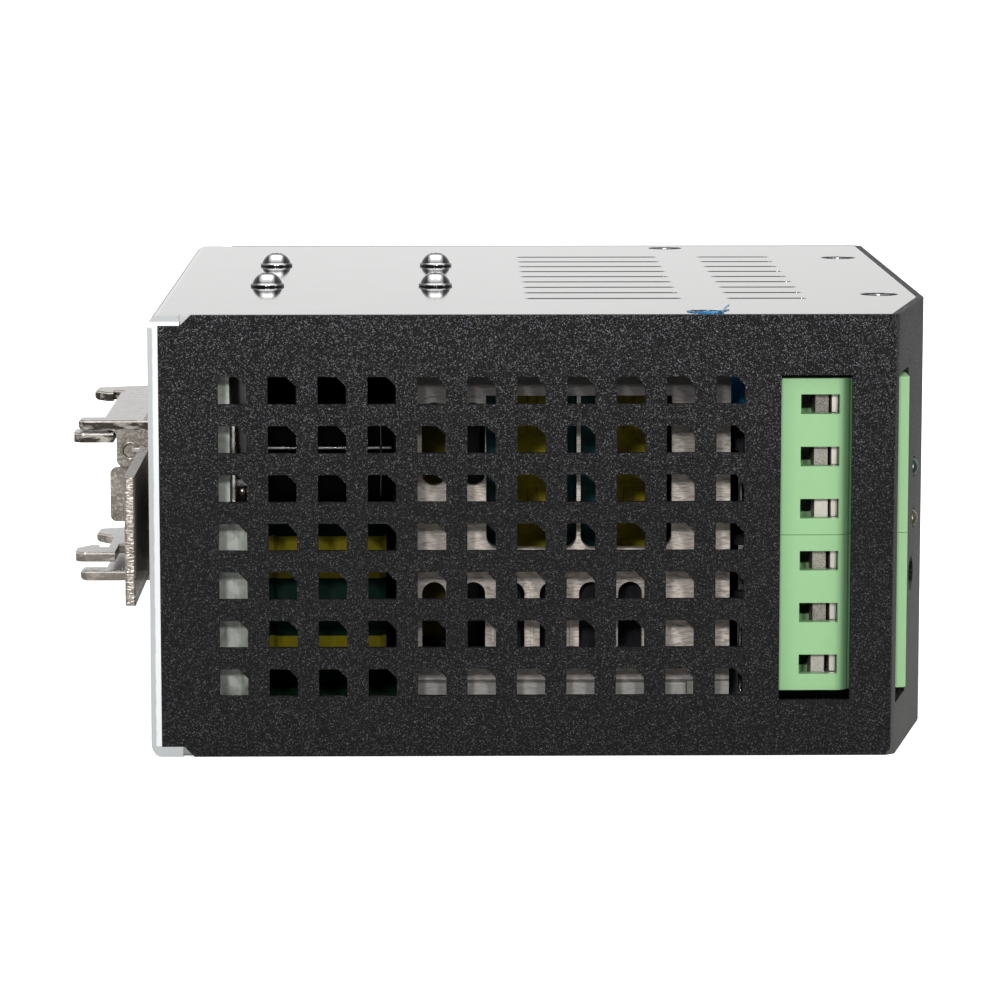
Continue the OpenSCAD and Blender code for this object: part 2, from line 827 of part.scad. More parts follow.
// Latch plate with its release tab, two hooked flanges and the spring's moving seat
module clip_slider() {
    half = tab_width / 2;
    flange_z = [9.1, -9.3];
    tongue_y = 42;
    in_frame([0.62, 0.6, 0.56]) difference() {
        union() {
            translate([-slider_x - clip_t, -tab_reach, mid - half]) {
                cube([clip_t, 33, tab_width]);
            }
            translate([-slider_x - clip_t, 20, mid - half]) {
                cube([clip_t, spring_seat_y - 18.5, half + 4.6]);
            }
            translate([-slider_x - clip_t, 47, mid]) cube([clip_t, spring_seat_y - 47, 9.2]);
            for (z = flange_z) translate([0, 0, mid + z]) linear_extrude(clip_t) latch_flange();
            translate([-8.8, spring_seat_y, mid - 3]) cube([8.8 - slider_x, clip_t, 3 + 9.1 + clip_t]);
            translate([-8.8, tongue_y, mid - 3.7]) cube([8.8 - slider_x, clip_t, 8.3]);
        }
        for (z = rivet_z) translate([-slider_x - clip_t - 1, rivet_y, z]) {
            translate([0, 0, -clear_r]) cube([clip_t + 2, latch_travel, 2 * clear_r]);
            for (dy = [0, latch_travel]) facing_front(0, dy, 0) cylinder(h = clip_t + 2, r = clear_r);
        }
    }
}

// Round wire along a list of points that climb the Y axis
module wire(points, r, sides) {
    n = len(points);
    ring = [for (p = points, k = [0:sides - 1]) p + r * [
        cos(p[3]) * cos(360 * k / sides),
        sin(360 * k / sides),
        sin(p[3]) * cos(360 * k / sides)
    ]];
    polyhedron(points = ring, faces = concat(
        [[for (k = [0:sides - 1]) k]],
        [[for (k = [sides - 1:-1:0]) (n - 1) * sides + k]],
        [for (i = [0:n - 2], k = [0:sides - 1]) each [
            [i * sides + k, (i + 1) * sides + k, i * sides + (k + 1) % sides],
            [(i + 1) * sides + k, (i + 1) * sides + (k + 1) % sides, i * sides + (k + 1) % sides]
        ]]
    ));
}

module clip_spring() {
    turns = 8;
    steps = 12;
    wire_r = 0.4;
    coil_r = 1.6;
    length = spring_seat_y - lug_y - clip_t - 2 * wire_r - 0.1;
    in_frame("silver") translate([-spring_x, lug_y + clip_t + wire_r + 0.05, mid + spring_z]) {
        wire([for (i = [0:turns * steps]) let (a = 360 * i / steps) [
            coil_r * cos(a),
            length * i / (turns * steps),
            coil_r * sin(a),
            a
        ]], wire_r, 8);
    }
}

chassis();
front_cover();
cover_screws();
dome_screws();
pcb();
pcb_standoffs();
pcb_screws();
insulation_sheet();
output_heatsink();
primary_heatsink();
bridge_rectifier();
mosfets();
output_diodes();
transformer_core();
transformer_bobbin();
transformer_winding();
choke_core();
choke_winding();
line_filter_core();
line_filter_winding();
bulk_capacitors();
output_capacitors();
x_capacitor();
y_capacitors();
varistor();
fuse();
front_board();
led_board();
led_ok();
led_low();
vadj_body();
vadj_rotor();
output_terminal_a();
output_terminal_b();
output_contacts();
input_terminal();
input_contacts();
clip_bracket();
clip_screws();
clip_rivets();
clip_slider();
clip_spring();
for (i = [0:5]) output_screw(i);
for (i = [0:5]) output_cage(i);
for (i = [0:2]) input_screw(i);
for (i = [0:2]) input_cage(i);
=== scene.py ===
import json
import math

import bmesh
import bpy
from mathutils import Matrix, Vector


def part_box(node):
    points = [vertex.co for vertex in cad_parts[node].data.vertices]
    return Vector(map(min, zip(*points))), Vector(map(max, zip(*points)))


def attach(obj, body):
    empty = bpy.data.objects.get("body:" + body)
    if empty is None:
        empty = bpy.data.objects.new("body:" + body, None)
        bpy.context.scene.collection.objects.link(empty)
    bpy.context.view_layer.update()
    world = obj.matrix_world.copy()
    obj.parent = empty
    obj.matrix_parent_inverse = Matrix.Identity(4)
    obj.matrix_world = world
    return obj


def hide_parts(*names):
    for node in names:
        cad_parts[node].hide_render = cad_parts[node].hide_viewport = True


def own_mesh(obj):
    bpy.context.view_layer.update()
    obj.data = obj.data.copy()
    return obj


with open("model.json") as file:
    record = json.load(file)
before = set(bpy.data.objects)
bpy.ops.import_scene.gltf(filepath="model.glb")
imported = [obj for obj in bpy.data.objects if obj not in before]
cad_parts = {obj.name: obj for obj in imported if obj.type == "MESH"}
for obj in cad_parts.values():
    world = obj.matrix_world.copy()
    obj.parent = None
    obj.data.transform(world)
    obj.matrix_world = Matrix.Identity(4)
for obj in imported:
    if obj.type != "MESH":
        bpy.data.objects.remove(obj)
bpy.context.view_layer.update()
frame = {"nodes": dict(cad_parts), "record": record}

MM = 0.001
SHEET = 1.5  # the chassis's thickness
WELD = 2e-6  # corners nearer than this, in metres, are one
FLAT_ANGLE = math.radians(0.3)
SHARP_ANGLE = math.radians(32)
CREASE_ANGLE = math.radians(50)
SLANT_START_X = 100  # the cover's bends near the front lie past this depth
DEFAULT_EDGE = 0.12  # rounding of the parts that EDGE_WIDTH doesn't name

# Case coordinates, in millimetres, start at the rail side, the output end and the lower side panel
CASE_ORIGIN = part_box("chassis")[0]
CASE_DEPTH, CASE_LENGTH, CASE_WIDTH = (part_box("front_cover")[1] - CASE_ORIGIN) / MM
MID = CASE_WIDTH / 2

record = frame["record"]
BODY_OF = {node: body for body, nodes in record["behaviour"]["bodies"].items() for node in nodes}
SLOT_OF = {part["node"]: part["material_slot"] for part in record["subparts"]}


def at(x, y, z):
    """A place in case coordinates, in the row frame."""
    return CASE_ORIGIN + MM * Vector((x, y, z))


# ---------------------------------------------------------------- camera


def aim(obj, place, target):
    obj.location = place
    obj.rotation_euler = (target - place).to_track_quat("-Z", "Y").to_euler()


camera = bpy.data.objects.new("camera", bpy.data.cameras.new("camera"))
camera.data.lens = 152.4
camera.data.clip_start = 0.01
aim(camera, at(42, -604.5, 122.9), at(50.6, 0, 37.62))
bpy.context.collection.objects.link(camera)
bpy.context.scene.camera = camera


# ---------------------------------------------------------------- materials


class Finish:
    """A Principled material, and the texture nodes that vary it."""

    def __init__(self, name, colour, roughness, metallic=0.0, **sockets):
        self.material = bpy.data.materials.new(name)
        self.material.use_nodes = True
        self.tree = self.material.node_tree
        self.shader = self.tree.nodes["Principled BSDF"]
        self.set("Base Color", (*colour, 1))
        self.set("Roughness", roughness)
        self.set("Metallic", metallic)
        for socket, value in sockets.items():
            self.set(socket.replace("_", " ").title().replace("Ior", "IOR"), value)
        self.place = self.node("ShaderNodeTexCoord").outputs["Object"]
        self.height = None

    def set(self, socket, value):
        self.shader.inputs[socket].default_value = value

    def node(self, kind, inputs=None, **settings):
        made = self.tree.nodes.new(kind)
        for key, value in settings.items():
            setattr(made, key, value)
        for key, value in (inputs or {}).items():
            if isinstance(value, bpy.types.NodeSocket):
                self.tree.links.new(value, made.inputs[key])
            else:
                made.inputs[key].default_value = value
        return made

    def stretched(self, scale):
        """Object coordinates, scaled by axis, so that a texture has a direction."""
        inputs = {"Vector": self.place, "Scale": scale}
        return self.node("ShaderNodeMapping", inputs).outputs["Vector"]

    def noise(self, size, detail=3.0, place=None, distortion=0.0):
        """Noise whose features are about size millimetres across."""
        inputs = {
            "Vector": place or self.place,
            "Scale": 1 / (size * MM),
            "Detail": detail,
            "Distortion": distortion,
        }
        return self.node("ShaderNodeTexNoise", inputs).outputs["Fac"]

    def cells(self, size, output="Distance", feature="F1"):
        """Cells that are about size millimetres across."""
        inputs = {"Vector": self.place, "Scale": 1 / (size * MM)}
        return self.node("ShaderNodeTexVoronoi", inputs, feature=feature).outputs[output]

    def remap(self, value, low, high, to_low=0.0, to_high=1.0):
        inputs = {0: value, 1: low, 2: high, 3: to_low, 4: to_high}
        return self.node("ShaderNodeMapRange", inputs).outputs[0]

    def maths(self, operation, a, b=0.0):
        return self.node("ShaderNodeMath", {0: a, 1: b}, operation=operation).outputs[0]

    def axis(self, name):
        """Case coordinate x, y or z, in millimetres."""
        split = self.node("ShaderNodeSeparateXYZ", {0: self.place}).outputs[name.upper()]
        low = CASE_ORIGIN["xyz".index(name)]
        return self.maths("DIVIDE", self.maths("SUBTRACT", split, low), MM)

    def facing(self, name):
        """How far the surface faces along x, y or z, from -1 to 1."""
        normal = self.node("ShaderNodeNewGeometry").outputs["Normal"]
        return self.node("ShaderNodeSeparateXYZ", {0: normal}).outputs[name.upper()]

    def between(self, value, low, high, soft=0.05):
        """1 where a value lies between two limits, 0 outside them."""
        rises = self.remap(value, low - soft, low + soft)
        falls = self.remap(value, high - soft, high + soft, 1.0, 0.0)
        return self.maths("MULTIPLY", rises, falls)

    def tint(self, factor, colour):
        """Mixes another colour over the base colour."""
        base = self.shader.inputs["Base Color"]
        inputs = {0: factor, 7: (*colour, 1)}
        if base.is_linked:
            inputs[6] = base.links[0].from_socket
        else:
            inputs[6] = tuple(base.default_value)
        mix = self.node("ShaderNodeMix", inputs, data_type="RGBA")
        self.tree.links.new(mix.outputs[2], base)
        return self

    def vary_roughness(self, value, low, high):
        self.tree.links.new(self.remap(value, 0.3, 0.7, low, high), self.shader.inputs["Roughness"])
        return self

    def vary(self, socket, value):
        self.tree.links.new(value, self.shader.inputs[socket])
        return self

    def bump(self, value, depth, strength=1.0):
        """Adds relief of about depth millimetres."""
        inputs = {"Height": value, "Distance": depth * MM, "Strength": strength}
        if self.height is not None:
            inputs["Normal"] = self.height
        self.height = self.node("ShaderNodeBump", inputs).outputs["Normal"]
        self.tree.links.new(self.height, self.shader.inputs["Normal"])
        return self


def rolled_aluminium():
    """Rolled sheet with painted shade that darkens it towards the front, its own bluish colour at the
    sheared ends, painted white highlights on those ends, and painted shade in the slot walls.
    """
    silver, glare = (0.565, 0.57, 0.565), (0.74, 0.74, 0.735, 1)
    f = Finish("chassis_aluminium", silver, 0.22, 1.0, specular_tint=glare)
    grain = f.noise(0.5, 4, f.stretched((0.03, 1, 1)))
    cloud = f.noise(9, 3)
    f.tint(f.remap(grain, 0.35, 0.7, 0, 0.25), (0.5, 0.51, 0.5))
    f.tint(f.remap(cloud, 0.4, 0.75, 0, 0.15), (0.78, 0.79, 0.78))
    f.vary_roughness(grain, 0.04, 0.08)
    # Painted shade: the sheet darkens towards the front
    f.tint(f.remap(f.axis("x"), 55, CASE_DEPTH), (0.45, 0.45, 0.445))
    # Sheared edges at the ends: bluish on the rolled side, with painted white highlights on the inner edge
    # and on the burr side
    y, x = f.axis("y"), f.axis("x")
    far_end = f.remap(y, CASE_LENGTH - 0.05, CASE_LENGTH - 0.02)
    ends = f.maths("MAXIMUM", f.remap(y, 0.02, 0.05, 1, 0), far_end)
    inner = f.remap(f.maths("ADD", x, f.maths("MULTIPLY", f.noise(1.5, 2), 0.3)), 0.8, 0.95)
    wall = f.between(f.axis("z"), SHEET + 0.1, CASE_WIDTH - SHEET - 0.1, 0.1)
    f.tint(ends, (0.44, 0.455, 0.46))
    # Painted highlight on the inner edge of the ends
    f.tint(f.maths("MULTIPLY", f.maths("MULTIPLY", ends, inner), wall), (0.74, 0.75, 0.76))
    burr_highlight = f.between(f.axis("z"), CASE_WIDTH - 1.75, CASE_WIDTH - 0.95, 0.15)
    # Painted highlight on the burr side of the ends
    f.tint(f.maths("MULTIPLY", ends, burr_highlight), (0.85, 0.85, 0.86))
    # Walls of the slots through the side panels, darkened with painted shade
    slot_wall_shade = f.between(f.axis("z"), 1.1, CASE_WIDTH - 1.1)
    slot_wall_shade = f.maths("MULTIPLY", f.maths("SUBTRACT", 1.0, slot_wall_shade), f.between(y, 3, CASE_LENGTH - 3))
    slot_wall_shade = f.maths("MULTIPLY", slot_wall_shade, f.remap(f.maths("ABSOLUTE", f.facing("y")), 0.5, 0.9))
    f.tint(slot_wall_shade, (0.1, 0.1, 0.1))
    f.vary("Metallic", f.remap(f.maths("MAXIMUM", ends, slot_wall_shade), 0, 1, 1, 0.1))
    return f.bump(grain, 0.004, 0.5).bump(f.noise(0.12, 2), 0.002, 0.4)


def powder_coat():
    """Textured coat with bright flecks whose glints are painted weaker low down, and painted light that
    makes the cover's slanted face greyer and lighter towards the bottom.
    """
    f = Finish("black_powder_coat", (0.0035, 0.0035, 0.004), 0.62, 0.0, ior=1.2)
    grain = f.noise(0.34, 3)
    fleck = f.node("ShaderNodeSeparateColor", {0: f.cells(0.115, "Color")})
    bright, hue = fleck.outputs[0], fleck.outputs[1]
    # Painted light: the flecks glint weaker lower down the case
    painted_glint_height = f.remap(f.axis("z"), 36, CASE_WIDTH, 0.42, 1.0)
    f.tint(f.remap(grain, 0.42, 0.7), (0.008, 0.0078, 0.0081))
    fleck_glint = f.maths("MULTIPLY", f.maths("POWER", f.remap(bright, 0.7, 1.0), 2.5), painted_glint_height)
    f.tint(fleck_glint, (0.17, 0.17, 0.175))
    f.tint(f.maths("MULTIPLY", fleck_glint, f.remap(hue, 0.9, 0.95)), (0.24, 0.21, 0.18))
    f.tint(f.maths("MULTIPLY", fleck_glint, f.remap(hue, 0.1, 0.05)), (0.16, 0.18, 0.25))
    # Painted light on the slanted face: a greyer sheen, lighter towards the bottom
    slanted = f.between(f.facing("y"), -0.8, -0.05, 0.03)
    painted_sheen_grain = f.remap(f.noise(0.45, 3), 0.4, 0.65)
    f.tint(f.maths("MULTIPLY", slanted, painted_sheen_grain), (0.035, 0.034, 0.032))
    lower = f.remap(f.axis("z"), CASE_WIDTH, 0, 0, 0.8)
    f.tint(f.maths("MULTIPLY", slanted, lower), (0.09, 0.088, 0.085))
    f.vary_roughness(grain, 0.5, 0.7)
    return f.bump(grain, 0.05, 0.7).bump(f.noise(0.9, 2), 0.05, 0.25)


def polished_screw(name, colour, roughness):
    f = Finish(name, colour, roughness, 1.0)
    smear = f.noise(1.2, 3)
    f.tint(f.remap(smear, 0.45, 0.8, 0, 0.5), tuple(0.5 * c for c in colour))
    f.vary_roughness(smear, 0.8 * roughness, 1.7 * roughness)
    return f.bump(f.noise(0.08, 2), 0.002, 0.5)


def domed_screw():
    """Nickel dome with a painted reflection: a light band between dark ones, and painted glints low on the
    dome.
    """
    f = Finish("nickel_screw", (0.035, 0.036, 0.04), 0.08, 1.0)
    up = f.facing("z")
    # Painted reflection: a light band across the dome
    band = f.between(up, 0.42, 0.84, 0.1)
    band = f.maths("MULTIPLY", band, f.remap(f.maths("ABSOLUTE", f.facing("x")), 0.28, 0.52, 1, 0))
    f.tint(band, (0.93, 0.93, 0.92))
    # Painted glints low on the dome
    painted_glint = f.maths("MULTIPLY", f.between(up, 0.1, 0.2, 0.05), f.remap(f.noise(1.4, 2), 0.4, 0.6))
    f.tint(painted_glint, (0.6, 0.6, 0.6))
    f.vary_roughness(f.noise(1.2, 3), 0.06, 0.14)
    return f.bump(f.noise(0.08, 2), 0.001, 0.5)


def flush_screw():
    """Blackened zinc with painted highlights: bright streaks on the head and bright recess walls."""
    f = Finish("flush_screw", (0.035, 0.033, 0.04), 0.3, 1.0, specular_tint=(0.07, 0.065, 0.08, 1))
    # Painted highlights: bright streaks on the head
    painted_streaks = f.remap(f.noise(0.9, 3, f.stretched((1, 0.3, 1))), 0.62, 0.68)
    f.tint(painted_streaks, (0.85, 0.85, 0.85))
    # Painted highlight on the walls of the recess
    f.tint(f.remap(f.facing("z"), 0.85, 0.6), (0.5, 0.5, 0.5))
    f.vary_roughness(f.noise(0.5, 3), 0.22, 0.4)
    return f.bump(f.noise(0.1, 2), 0.003, 0.5)


def moulded(name, colour, shade, roughness=0.45, **sockets):
    f = Finish(name, colour, roughness, 0.0, **sockets)
    cloud = f.noise(3.5, 3)
    f.tint(f.remap(cloud, 0.35, 0.75, 0, 0.5), shade)
    f.vary_roughness(cloud, roughness - 0.08, roughness + 0.1)
    return f.bump(f.noise(0.09, 2), 0.004, 0.5).bump(f.noise(0.7, 2), 0.01, 0.4)


def plated_sheet(name, flanges, tab_y):
    """Plated sheet whose sheared thickness shows on the flanges and at the tab's end, with painted shade on
    its level and front faces, painted shade on the upper flange's edge and a painted highlight along each
    flange's rim.
    """
    f = Finish(name, (0.40, 0.365, 0.325), 0.26, 1.0)
    cloud, grain = f.noise(2.6, 4), f.noise(0.22, 3)
    f.tint(f.remap(cloud, 0.4, 0.7, 0, 0.5), (0.24, 0.215, 0.19))
    f.tint(f.remap(f.noise(1.1, 3, distortion=0.8), 0.56, 0.7, 0, 0.35), (0.66, 0.63, 0.59))
    upward = f.maths("ABSOLUTE", f.facing("z"))
    # Painted shade: faces square to z get a darker tone
    level_face_shade = f.remap(upward, 0.75, 0.95)
    f.tint(level_face_shade, (0.34, 0.33, 0.32))
    # Painted shade: such faces between x -3.4 and -1.7, in the gap by the wall, almost black
    f.tint(f.maths("MULTIPLY", level_face_shade, f.between(f.axis("x"), -3.4, -1.7)), (0.05, 0.043, 0.036))
    across = f.remap(f.maths("ABSOLUTE", f.facing("y")), 0.7, 0.9)
    # Painted shade: faces across the case darker, in clouds
    f.tint(f.maths("MULTIPLY", across, f.remap(cloud, 0.35, 0.65, 0.45, 0.95)), (0.17, 0.15, 0.13))
    speckle = f.remap(f.noise(0.4, 4), 0.52, 0.62, 0, 0.5)
    f.tint(f.maths("MULTIPLY", across, speckle), (0.6, 0.55, 0.49))
    # Sheared edges: the flanges are drawn smooth and the tab's end is torn; the upper flange's edge is
    # darkened with painted shade, and each flange's rim gets a painted highlight
    z, y = f.axis("z"), f.axis("y")
    side = f.remap(upward, 0.4, 0.7, 1, 0)
    tab = f.maths("MULTIPLY", f.remap(y, tab_y - 0.02, tab_y + 0.1, 1, 0), side)
    tear = f.noise(0.26, 4, f.stretched((0.4, 1, 1)), 0.4)
    stripe = f.noise(0.22, 3, f.stretched((0.22, 0.3, 1)))
    drawn = f.noise(0.8, 4, f.stretched((0.3, 1, 1)), 0.3)
    for low, high in flanges:
        flange = f.maths("MULTIPLY", f.between(z, MID + low, MID + high, 0.02), side)
        if low > 0:
            # Painted shade: the upper flange's edge near black
            dull, bright = (0.05, 0.044, 0.038), (0.46, 0.43, 0.38)
        else:
            dull, bright = (0.24, 0.215, 0.19), (0.5, 0.46, 0.41)
        # Painted highlight along the flange's rim
        rim = f.between(z, MID + high - 0.32, MID + high - 0.12, 0.06)
        f.tint(flange, dull)
        f.tint(f.maths("MULTIPLY", flange, f.remap(drawn, 0.5, 0.62, 0, 0.8)), bright)
        f.tint(f.maths("MULTIPLY", flange, rim), (0.8, 0.76, 0.7))
    f.tint(tab, (0.34, 0.3, 0.26))
    f.tint(f.maths("MULTIPLY", tab, f.remap(tear, 0.42, 0.66)), (0.11, 0.095, 0.078))
    f.tint(f.maths("MULTIPLY", tab, f.remap(stripe, 0.52, 0.62)), (0.75, 0.7, 0.65))
    f.vary_roughness(tear, 0.2, 0.42)
    return f.bump(grain, 0.01, 0.5).bump(cloud, 0.03, 0.4).bump(f.maths("MULTIPLY", tab, tear), 0.08, 0.9)


def rolled_plate():
    """Plate with painted shade on its upper part and its left end, greyer towards the bottom, with fine
    marks along it.
    """
    f = Finish("plate_aluminium", (0.66, 0.59, 0.53), 0.5, 0.15)
    fine = f.noise(0.2, 4, f.stretched((0.16, 1, 1)))
    marks = f.noise(0.4, 4, f.stretched((0.25, 1, 1)), 0.6)
    z = f.axis("z")
    f.tint(f.remap(fine, 0.42, 0.62, 0, 0.75), (0.33, 0.285, 0.24))
    f.tint(f.remap(marks, 0.58, 0.66, 0, 0.6), (0.12, 0.1, 0.085))
    # Painted shade on the plate's upper part
    f.tint(f.remap(z, 37, 52, 0, 0.94), (0.035, 0.034, 0.032))
    f.tint(f.remap(z, 14, 9, 0, 0.7), (0.22, 0.225, 0.225))
    f.tint(f.between(z, 9.55, 9.8, 0.1), (0.06, 0.06, 0.06))
    # Painted shade at the plate's left end
    f.tint(f.remap(f.axis("x"), 44, 37, 0, 0.7), (0.1, 0.095, 0.09))
    f.vary_roughness(fine, 0.42, 0.62)
    return f.bump(fine, 0.02, 0.7).bump(marks, 0.03, 0.5)


def brushed(name, colour, shade, roughness, along, streak):
    f = Finish(name, colour, roughness, 1.0)
    grain = f.noise(0.25, 5, f.stretched(along))
    scratch = f.noise(0.7, 4, f.stretched(tuple(2 * s if s < 1 else s for s in along)))
    f.tint(f.remap(grain, 0.4, 0.68, 0, streak), shade)
    f.tint(f.remap(scratch, 0.58, 0.7, 0, 0.5), tuple(0.6 * s for s in shade))
    smudge = f.noise(2.4, 3, distortion=0.5)
    f.tint(f.remap(smudge, 0.42, 0.7, 0, 0.7), tuple(0.55 * s for s in shade))
    f.vary_roughness(grain, roughness - 0.06, roughness + 0.14)
    return f.bump(grain, 0.012, 0.7)


def etched(name, dark):
    """Plated clamp whose rolled grip is pitted; dark is how much of it the pits cover."""
    f = Finish(name, (0.52, 0.48, 0.43), 0.45, 0.4)
    pits = f.noise(0.14, 3)
    f.tint(min(1.0, max(0.0, 5 * dark)), (0.12, 0.105, 0.09))
    f.tint(f.remap(pits, 0.6 - dark, 0.7 - dark, 0, 0.85), (0.06, 0.052, 0.043))
    f.vary_roughness(pits, 0.35, 0.6)
    return f.bump(pits, 0.06, 0.8)


def housing():
    """Green terminal housing, with painted shade on the shoulder beside the cover's window and along the
    face's left edge.
    """
    f = moulded("terminal_green", (0.25, 0.46, 0.22), (0.225, 0.42, 0.195), 0.42)
    x, y = f.axis("x"), f.axis("y")
    front = f.maths("SUBTRACT", 1.0, f.between(y, 3, CASE_LENGTH - 3))
    # Painted shade on the shoulder beside the window
    shoulder = f.maths("MULTIPLY", f.remap(x, 99.3, 100.7, 0, 0.86), f.remap(x, 102.4, 102.6, 1, 0))
    f.tint(f.maths("MULTIPLY", shoulder, front), (0.05, 0.13, 0.05))
    # Painted shade along the face's left edge
    f.tint(f.maths("MULTIPLY", f.remap(x, 93.6, 91.3, 0, 0.4), front), (0.17, 0.36, 0.165))
    return f


def contact_bar():
    """Tin plated bar, bright at the wire entry, with painted shade that darkens it inside the housing."""
    f = Finish("contact_metal", (0.6, 0.56, 0.5), 0.36, 0.6)
    grain = f.noise(0.3, 4, f.stretched((1, 1, 0.15)))
    y = f.axis("y")
    f.tint(f.remap(grain, 0.4, 0.7, 0, 0.5), (0.55, 0.5, 0.43))
    # Painted shade inside the housing
    inside = f.between(y, 7.5, CASE_LENGTH - 7.5, 1.2)
    f.tint(inside, (0.02, 0.018, 0.016))
    f.vary_roughness(grain, 0.26, 0.45)
    return f.bump(grain, 0.02, 0.6)


def taped(name, colour, shade):
    f = Finish(name, colour, 0.45, 0.0, ior=1.15)
    turns = f.noise(0.6, 2, f.stretched((0.3, 0.3, 1)))
    cloud = f.noise(4, 3)
    f.tint(f.remap(cloud, 0.35, 0.7), shade)
    f.tint(f.remap(turns, 0.55, 0.75, 0, 0.5), tuple(0.5 * s for s in shade))
    return f.bump(turns, 0.06, 0.5).bump(f.noise(0.25, 2), 0.01, 0.5)


def board():
    f = Finish("board_green", (0.012, 0.07, 0.03), 0.3, 0.0, coat_weight=0.4, coat_roughness=0.15)
    tracks = f.cells(2.6, "Distance", "DISTANCE_TO_EDGE")
    weave = f.noise(0.25, 2)
    f.tint(f.remap(tracks, 0.08, 0.1, 1, 0), (0.006, 0.035, 0.016))
    f.tint(f.remap(weave, 0.4, 0.8, 0, 0.25), (0.03, 0.12, 0.05))
    return f.bump(f.remap(tracks, 0.08, 0.11, 1, 0), 0.03, 0.6)


def lacquered(name, colour, shade, roughness=0.2):
    f = Finish(name, colour, roughness, 0.0, ior=1.22, coat_weight=0.05, coat_roughness=0.08)
    cloud = f.noise(2.2, 3)
    f.tint(f.remap(cloud, 0.35, 0.75), shade)
    f.vary_roughness(cloud, roughness, roughness + 0.15)
    return f.bump(f.noise(0.8, 3), 0.05, 0.5).bump(f.noise(0.12, 2), 0.006, 0.5)


def lens(name, colour, glow):
    """Tinted lens with a painted highlight on its output side."""
    f = Finish(name, colour, 0.09, 0.0, ior=1.3)
    cloud = f.noise(0.8, 2)
    f.tint(f.remap(cloud, 0.3, 0.8), glow)
    height = f.between(f.facing("z"), -0.05, 0.35, 0.08)
    # Painted highlight where the dome faces out and a little up
    painted_highlight = f.maths("MULTIPLY", f.remap(f.facing("y"), -0.86, -0.93), height)
    f.tint(painted_highlight, (0.95, 0.95, 0.93))
    return f.bump(f.noise(0.5, 2), 0.01, 0.3)


def sleeve(name, colour, shade, band=None):
    f = Finish(name, colour, 0.6, 0.0, ior=1.12)
    cloud = f.noise(2.5, 3)
    f.tint(f.remap(cloud, 0.35, 0.75), shade)
    if band is not None:
        z = f.axis("z")
        stripes = f.maths("ADD", f.between(z, 24.4, 30.1), f.between(z, 10, 15.8))
        lying = f.remap(f.axis("y"), 38.2, 38.4, 1, 0)
        f.tint(f.maths("MULTIPLY", stripes, lying), band)
    return f.bump(f.noise(0.5, 3), 0.02, 0.5)


FINISHES = {
    "chassis_aluminium": rolled_aluminium(),
    "black_powder_coat": powder_coat(),
    "zinc_screw": polished_screw("zinc_screw", (0.22, 0.22, 0.235), 0.16),
    "nickel_screw": domed_screw(),
    "board_green": board(),
    "brass": polished_screw("brass", (0.62, 0.44, 0.18), 0.25),
    "insulating_film": moulded("insulating_film", (0.55, 0.53, 0.44), (0.42, 0.4, 0.33), 0.3),
    "plate_aluminium": rolled_plate(),
    "heatsink_aluminium": brushed(
        "heatsink_aluminium", (0.4, 0.42, 0.385), (0.22, 0.24, 0.21), 0.42, (1, 1, 0.05), 0.3
    ),
    "black_epoxy": moulded("black_epoxy", (0.018, 0.018, 0.019), (0.03, 0.03, 0.03), 0.4),
    "teal_core": lacquered("teal_core", (0.0, 0.06, 0.062), (0.0, 0.022, 0.024), 0.4),
    "dark_core": lacquered("dark_core", (0.02, 0.021, 0.023), (0.035, 0.035, 0.036), 0.4),
    "bobbin_black": moulded("bobbin_black", (0.02, 0.02, 0.02), (0.035, 0.034, 0.033), 0.38),
    "yellow_tape": taped("yellow_tape", (0.24, 0.21, 0.006), (0.12, 0.1, 0.003)),
    "olive_tape": taped("olive_tape", (0.08, 0.07, 0.003), (0.05, 0.043, 0.003)),
    "green_sleeve": sleeve(
        "green_sleeve", (0.004, 0.022, 0.016), (0.003, 0.013, 0.01), (0.2, 0.17, 0.01)
    ),
    "black_sleeve": sleeve("black_sleeve", (0.015, 0.015, 0.018), (0.03, 0.03, 0.034)),
    "yellow_box": moulded("yellow_box", (0.6, 0.48, 0.05), (0.5, 0.38, 0.03), 0.4),
    "blue_lacquer": lacquered("blue_lacquer", (0.02, 0.45, 0.98), (0.012, 0.3, 0.75)),
    "fuse_ceramic": moulded("fuse_ceramic", (0.7, 0.69, 0.64), (0.6, 0.58, 0.52), 0.4),
    "led_green": lens("led_green", (0.001, 0.028, 0.013), (0.001, 0.016, 0.008)),
    "led_yellow": lens("led_yellow", (0.055, 0.05, 0.008), (0.035, 0.032, 0.005)),
    "trimmer_blue": moulded("trimmer_blue", (0.03, 0.10, 0.28), (0.02, 0.07, 0.2), 0.4),
    "terminal_green": housing(),
    "contact_metal": contact_bar(),
    "clamp_screw_steel": polished_screw("clamp_screw_steel", (0.55, 0.55, 0.55), 0.25),
    "clip_nickel": plated_sheet("clip_nickel", [(-12.4, -10.9), (10.9, 12.4)], -10),
    "spring_steel": polished_screw("spring_steel", (0.62, 0.61, 0.6), 0.14),
}
FINISH_OF = {
    "cover_screws": flush_screw(),
    "clip_slider": plated_sheet("latch_nickel", [(-9.3, -7.8), (9.1, 10.6)], -3.4),
    "output_cage_6": etched("cage_pitted", 0.14),
    "output_cage_5": etched("cage_worn", 0.09),
    "output_cage_4": etched("cage_plain", -0.08),
    "output_cage_3": etched("cage_dull", 0.09),
    "output_cage_2": etched("cage_rough", 0.11),
    "output_cage_1": etched("cage_clean", 0.05),
}


# ---------------------------------------------------------------- CAD nodes with softened edges


def place_piece(obj, body, slot, finish=None):
    """Shows an object on a body, with a finish from the record's slot."""
    bpy.context.collection.objects.link(obj)
    obj.data.materials.clear()
    obj.data.materials.append((finish or FINISHES[slot]).material)
    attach(obj, body)
    return obj


